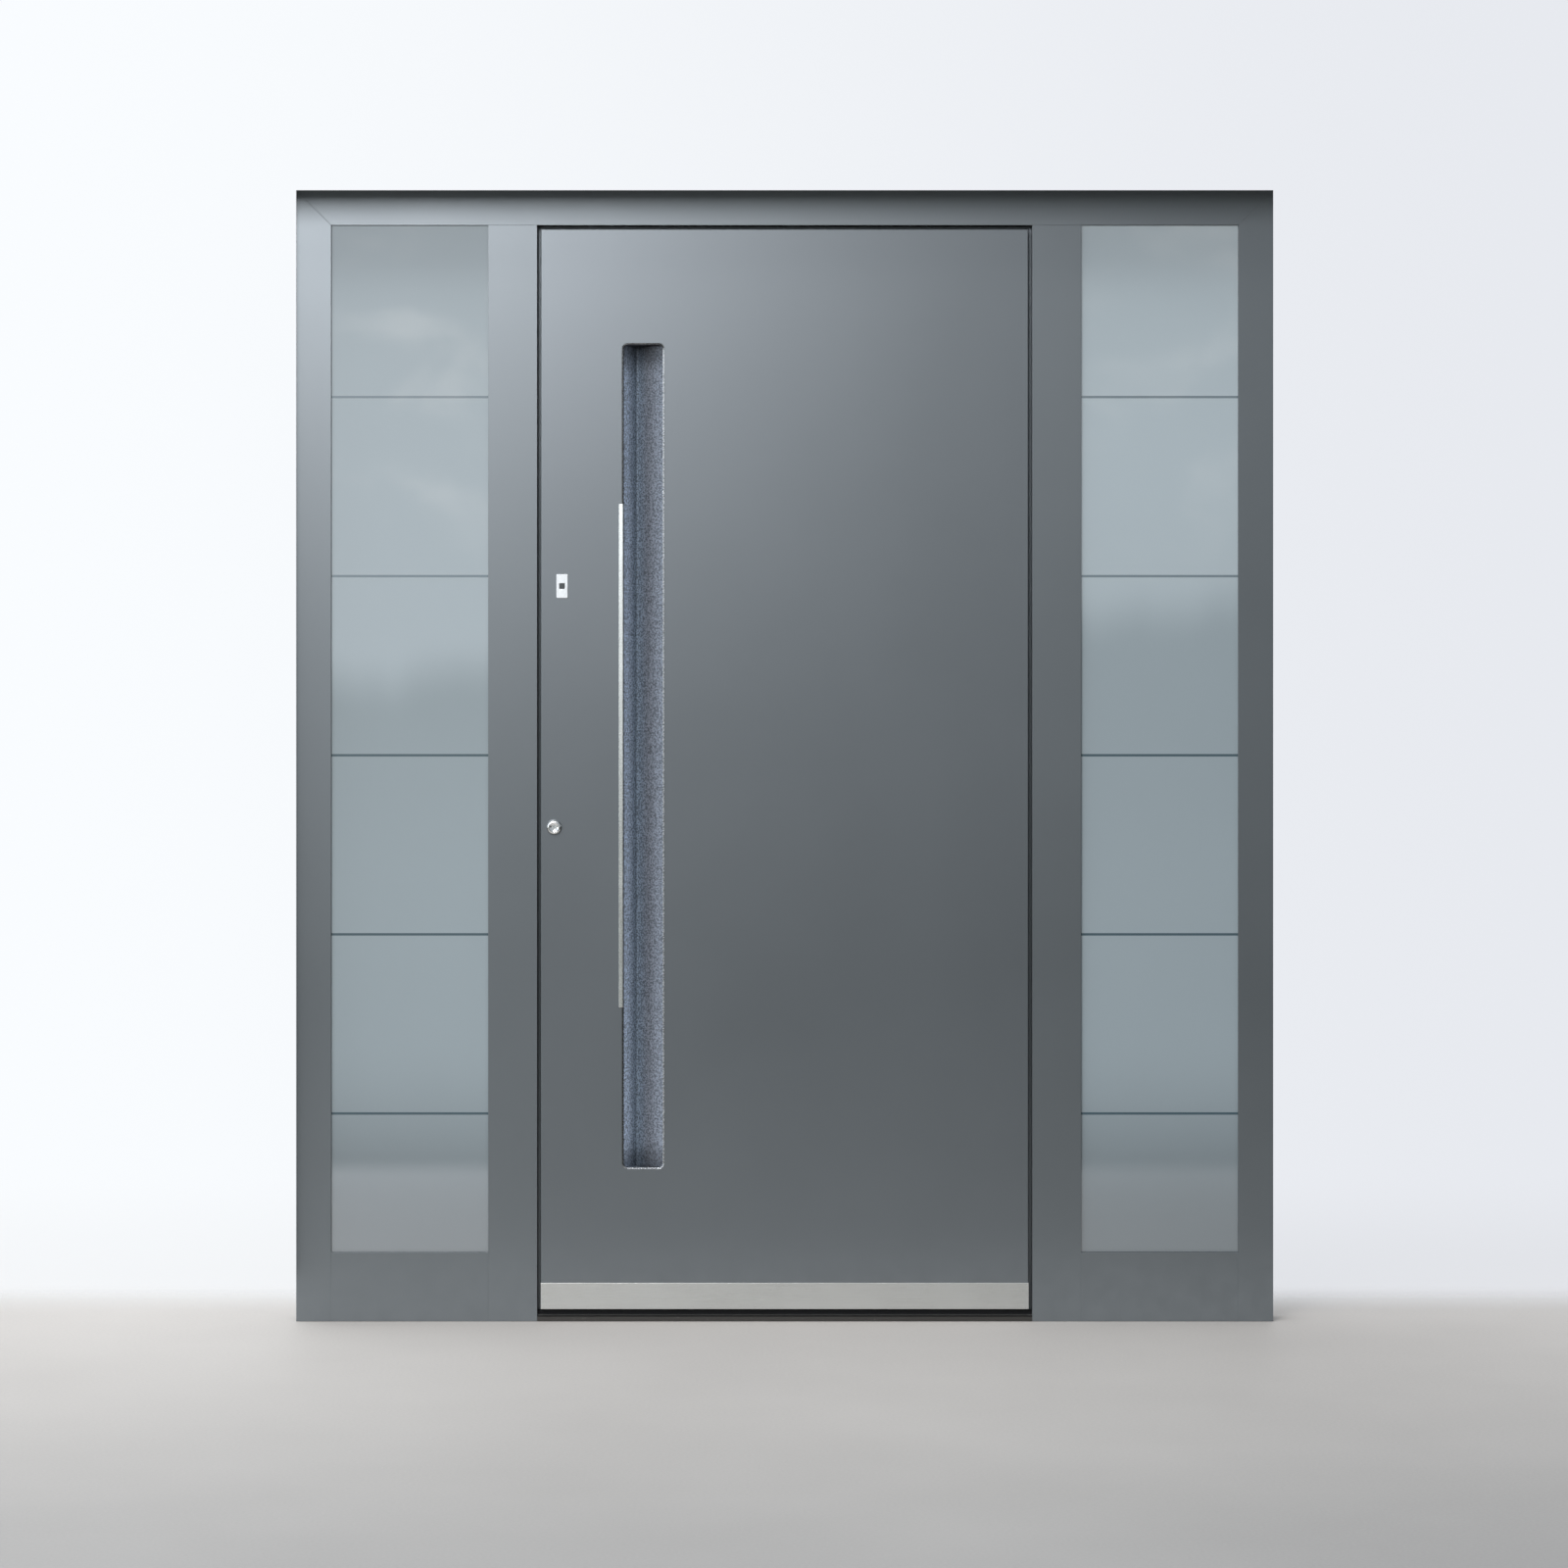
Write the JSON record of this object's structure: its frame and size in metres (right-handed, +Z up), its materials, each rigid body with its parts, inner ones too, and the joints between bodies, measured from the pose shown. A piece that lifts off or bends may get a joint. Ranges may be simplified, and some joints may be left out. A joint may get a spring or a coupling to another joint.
{
  "type": "door with sidelights",
  "caption": "Flush insulated entrance door hung between two fixed frosted sidelights in one aluminium frame, with an upright recessed grip trough and a flat sill.",
  "frame": {"origin": "middle of the flat underside of the sill, halfway through the frame's depth", "axes": "+X to the right as seen from outside, +Y into the house, +Z up"},
  "size_m": [2.03, 0.1585, 2.35],
  "materials": {
    "frame_paint": "satin anthracite coating on extruded aluminium",
    "leaf_paint": "satin anthracite coating on flat aluminium sheet",
    "trough_paint": "fine grained metallic coating",
    "frosted_glass": "satin frosted face with narrow clear stripes",
    "clear_glass": "clear float glass",
    "spacer": "dark warm edge spacer",
    "seal_rubber": "matt black extruded rubber",
    "thermal_strip": "black glass fibre reinforced strip",
    "core_foam": "rigid insulating foam",
    "stainless": "fine satin stainless steel",
    "reader_face": "bright brushed plate",
    "sensor": "dark glossy scanning window",
    "sill_aluminium": "dark anodised extrusion",
    "hinge_paint": "satin coating on the hinge bodies",
    "lock_steel": "bright satin steel"
  },
  "bodies": {
    "frame": {"door_head": "frame_paint", "door_stop_gasket": "seal_rubber", "frame_thermal_strips": "thermal_strip", "head": "frame_paint", "hinge_high_frame_part": "hinge_paint", "hinge_low_frame_part": "hinge_paint", "hinge_middle_frame_part": "hinge_paint", "left_bottom_rail": "frame_paint", "left_glazing_beads": "frame_paint", "left_glazing_gaskets": "seal_rubber", "left_inner_panes": "clear_glass", "left_mullion": "frame_paint", "left_outer_pane": "frosted_glass", "left_spacers": "spacer", "left_stile": "frame_paint", "right_bottom_rail": "frame_paint", "right_glazing_beads": "frame_paint", "right_glazing_gaskets": "seal_rubber", "right_inner_panes": "clear_glass", "right_mullion": "frame_paint", "right_outer_pane": "frosted_glass", "right_spacers": "spacer", "right_stile": "frame_paint", "strike_plate": "stainless", "threshold_core": "thermal_strip", "threshold_inner": "sill_aluminium", "threshold_outer": "sill_aluminium"},
    "leaf": {"grip_bar": "stainless", "grip_trough": "trough_paint", "hinge_high_leaf_part": "hinge_paint", "hinge_low_leaf_part": "hinge_paint", "hinge_middle_leaf_part": "hinge_paint", "inside_lever": "stainless", "kick_plate": "stainless", "leaf_bottom_rail": "leaf_paint", "leaf_bottom_seal": "seal_rubber", "leaf_core": "core_foam", "leaf_hinge_stile": "leaf_paint", "leaf_inner_skin": "leaf_paint", "leaf_lock_stile": "leaf_paint", "leaf_outer_skin": "leaf_paint", "leaf_thermal_strips": "thermal_strip", "leaf_top_rail": "leaf_paint", "lock_bolts": "lock_steel", "lock_cylinder": "lock_steel", "lock_faceplate": "stainless", "lock_roses": "lock_steel", "reader_plate": "reader_face", "reader_sensor": "sensor"}
  },
  "joints": [
    {"name": "leaf_hinge", "type": "hinge", "parent": "frame", "child": "leaf", "pos_m": [0.52565, 0.0545, 0], "axis": [0, 0, -1], "range_deg": [0, 110]}
  ]
}
